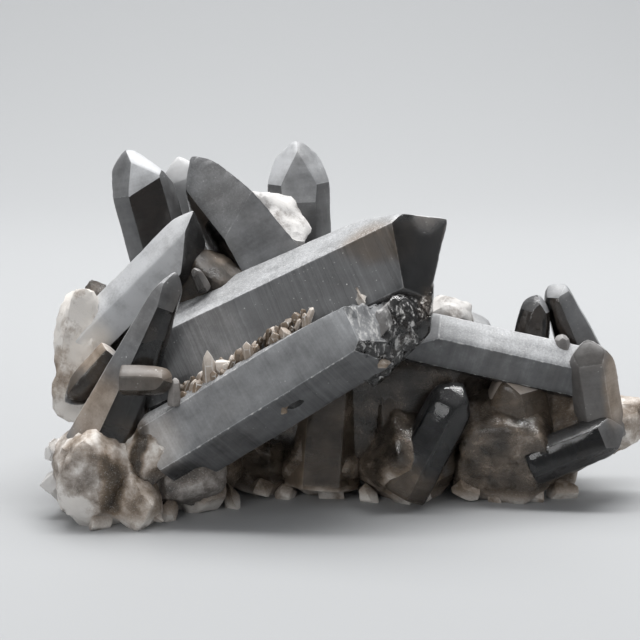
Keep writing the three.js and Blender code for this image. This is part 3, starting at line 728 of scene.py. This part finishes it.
def near(at, reach):
    """1 inside an egg about this place, 0 outside it, with a wandering border."""
    spot = Vector(at) - MIDDLE + Vector((2.5, 2.5, 2.5))
    away = finish.node("ShaderNodeVectorMath", {"operation": "SUBTRACT"}, {0: wander, 1: spot})
    away = finish.node("ShaderNodeVectorMath", {"operation": "DIVIDE"}, {0: away, 1: reach})
    return 1 - finish.node("ShaderNodeVectorMath", {"operation": "LENGTH"}, {0: away}, 1).rise(0.45, 1.25)


paler, browner, clearer = pale, brown + (patchy - 0.5) * rough * 0.4, clear
for at, reach, lift, rust, glassy in stains_and_painted_shade:
    inside = near(at, reach)
    paler, browner, clearer = paler + inside * lift, browner + inside * rust, clearer + inside * glassy

# The cream rim at the foot; painted sparkle, white dots that stand for glints and are thicker on faces
# that look up; worn edges and flakes, whitened partly as real chips and partly as painted highlights
# along the edges and painted reflections on the broken faces; and painted glints on the sugary frost.
rim = (1 - (height + (patchy - 0.5) * 7).rise(0.5, 3.8)) * brown.rise(0.4, 0.8)
sparkle_cells = finish.node("ShaderNodeTexVoronoi", {}, {"Vector": place, "Scale": 1.1})
# Painted sparkle: a patch on the upper crystal's front where the white dots for glints are thicker.
sparkle_patch = near((3, -15, 44), (12, 8, 7))
scattered = patchy.rise(0.52, 0.62) * fine.rise(0.42, 0.6) * (0.35 + 0.65 * upward_for_painted_light.rise(0, 0.7))
painted_sparkle = (1 - sparkle_cells.rise(0.1, 0.17)) * larger(scattered, sparkle_patch * fine.rise(0.46, 0.56))
upright = finish.node("ShaderNodeVectorMath", {"operation": "MULTIPLY"}, {0: place, 1: (1, 1, 0.35)})
shards = finish.node("ShaderNodeTexNoise", {}, {"Vector": upright, "Scale": 1, "Detail": 6, "Roughness": 0.6})
# Partly real chips, partly painted light: whitened worn edges stand for highlights along the edges, and
# whitened flakes on broken faces for their silvery reflections.
chips_and_painted_highlights = edge.rise(0.2, 0.6) * (fine * 0.2 + shards * 0.8).rise(0.48, 0.62)
# Painted glints: white dots on sugary faces that stand for light glinting off the sugary frost.
painted_glitter = sugary * grains.rise(0.55, 0.72)

# How light each place is, from black glass at 0 to milky white at 1, in greys and in the browns of iron.
# The term on faces that look up is painted light from above, and the edge term is partly painted
# highlight along the edges and partly wear.
tone = (paler + upward_for_painted_light.rise(0.2, 0.95) * 0.06 + edge * 0.1 + rim * 0.4
        + (ridges - 0.5) * ridged * 0.3 + (bands - 0.5) * (0.08 + ridged * 0.12)
        + (patchy - 0.5) * (0.3 + rough * 1.1) + (fine - 0.5) * (0.12 + sugary * 0.4))
grey = finish.node("ShaderNodeValToRGB", {"stops": [
    (0, (0.012, 0.0125, 0.013)), (0.35, (0.05, 0.0505, 0.052)), (0.6, (0.136, 0.138, 0.141)),
    (0.8, (0.29, 0.294, 0.3)), (1, (0.56, 0.568, 0.58))]}, {0: tone})
earth = finish.node("ShaderNodeValToRGB", {"stops": [
    (0, (0.03, 0.021, 0.014)), (0.35, (0.104, 0.074, 0.047)), (0.6, (0.24, 0.18, 0.128)),
    (0.8, (0.48, 0.405, 0.34)), (1, (0.83, 0.78, 0.72))]}, {0: tone})
colour = (browner + (broad - 0.5) * 0.5).rise(0, 1).blend(grey, earth)
# White laid over the colour at the painted sparkle, the painted glints on sugary faces, and the whitened
# edges and flakes, which are partly painted highlights and reflections.
whitened = larger(larger(painted_sparkle, chips_and_painted_highlights * 0.75), painted_glitter * 0.7)
colour = whitened.blend(colour, (0.72, 0.71, 0.69, 1))

# Frosted places are satin; the rest is bare glass over smoke that swallows light within millimetres.
frost = 1 - clearer + (ridges - 0.5) * ridged * 0.3 + (patchy - 0.5) * 0.5 + (bands - 0.5) * 0.16 + rim * 0.5
frost = larger(frost.rise(0.02, 0.98), whitened)

relief = ridges * ridged * 0.5 + fine * (0.12 + rough * 0.5) + patchy * rough * 1.2 + grains * sugary * 0.5
bump = finish.node("ShaderNodeBump", {}, {"Height": relief, "Strength": 0.3, "Distance": 0.0004})
QUARTZ_IOR = 1.544
satin = finish.node("ShaderNodeBsdfPrincipled", {}, {
    "Base Color": colour, "Roughness": 0.34 + fine * 0.2 + rough * 0.1, "IOR": QUARTZ_IOR, "Normal": bump})
glass = finish.node("ShaderNodeBsdfPrincipled", {}, {
    "Base Color": (0.86, 0.84, 0.82, 1), "Roughness": 0.05, "IOR": QUARTZ_IOR, "Transmission Weight": 1,
    "Normal": bump})
skin = finish.node("ShaderNodeMixShader", {}, {0: frost, 1: glass, 2: satin})
smoke = finish.node("ShaderNodeVolumeAbsorption", {}, {"Color": (0.4, 0.34, 0.29, 1), "Density": 420})
finish.node("ShaderNodeOutputMaterial", {}, {"Surface": skin, "Volume": smoke})
whole.data.materials.clear()
whole.data.materials.append(quartz)

# ---- Floor, light and camera ---------------------------------------------------------------------
# A pale sheet that curves up behind the stone, one large soft light overhead, a soft light behind
# it and a weak one in front. None of them belongs to the object. Lengths here are in metres.

sheet = bmesh.new()
turns = [radians(90) * k / 24 for k in range(25)]
profile = [(-1.2, 0)] + [(0.5 + sin(turn), 1 - cos(turn)) for turn in turns] + [(1.5, 3)]
rows = [[sheet.verts.new((x, y, z)) for y, z in profile] for x in (-2.5, 2.5)]
for k in range(len(profile) - 1):
    sheet.faces.new((rows[0][k], rows[1][k], rows[1][k + 1], rows[0][k + 1])).smooth = True
floor = bpy.data.objects.new("floor_sheet", bpy.data.meshes.new("floor_sheet"))
sheet.to_mesh(floor.data)
sheet.free()
bpy.context.scene.collection.objects.link(floor)
paper = bpy.data.materials.new("pale_sheet")
paper.use_nodes = True
paper.node_tree.nodes["Principled BSDF"].inputs["Base Color"].default_value = (0.42, 0.427, 0.433, 1)
paper.node_tree.nodes["Principled BSDF"].inputs["Roughness"].default_value = 0.6
floor.data.materials.append(paper)


def soft_light(name, spot, aim, size, power, colour=(1, 1, 1)):
    lamp = bpy.data.lights.new(name, "AREA")
    lamp.shape, lamp.size, lamp.size_y, lamp.energy, lamp.color = "RECTANGLE", *size, power, colour
    holder = bpy.data.objects.new(name, lamp)
    holder.location = spot
    holder.rotation_euler = (Vector(aim) - Vector(spot)).to_track_quat("-Z", "Y").to_euler()
    bpy.context.scene.collection.objects.link(holder)


soft_light("overhead", (0.05, 0.2, 0.8), (0, 0, 0.03), (0.9, 0.6), 8)
soft_light("backdrop", (0, 0.1, 1.3), (0, 1.4, 0.5), (1.4, 0.4), 18)
soft_light("front", (-0.5, -0.9, 0.5), (0, 0, 0.04), (0.4, 0.4), 1.5)

world = bpy.data.worlds.new("room")
world.use_nodes = True
world.node_tree.nodes["Background"].inputs["Color"].default_value = (0.85, 0.87, 0.9, 1)
world.node_tree.nodes["Background"].inputs["Strength"].default_value = 0.4
bpy.context.scene.world = world
bpy.context.scene.view_settings.view_transform = "Standard"

camera = bpy.data.objects.new("camera", bpy.data.cameras.new("camera"))
camera.data.lens, camera.data.sensor_width = 100, 36
look_up, away = radians(10), 0.3556
aim = Vector((0, 0, 0.037)) - MIDDLE * MM
camera.location = aim - Vector((0, cos(look_up), -sin(look_up))) * away
camera.rotation_euler = (pi / 2 - look_up, 0, 0)
bpy.context.scene.collection.objects.link(camera)
bpy.context.scene.camera = camera
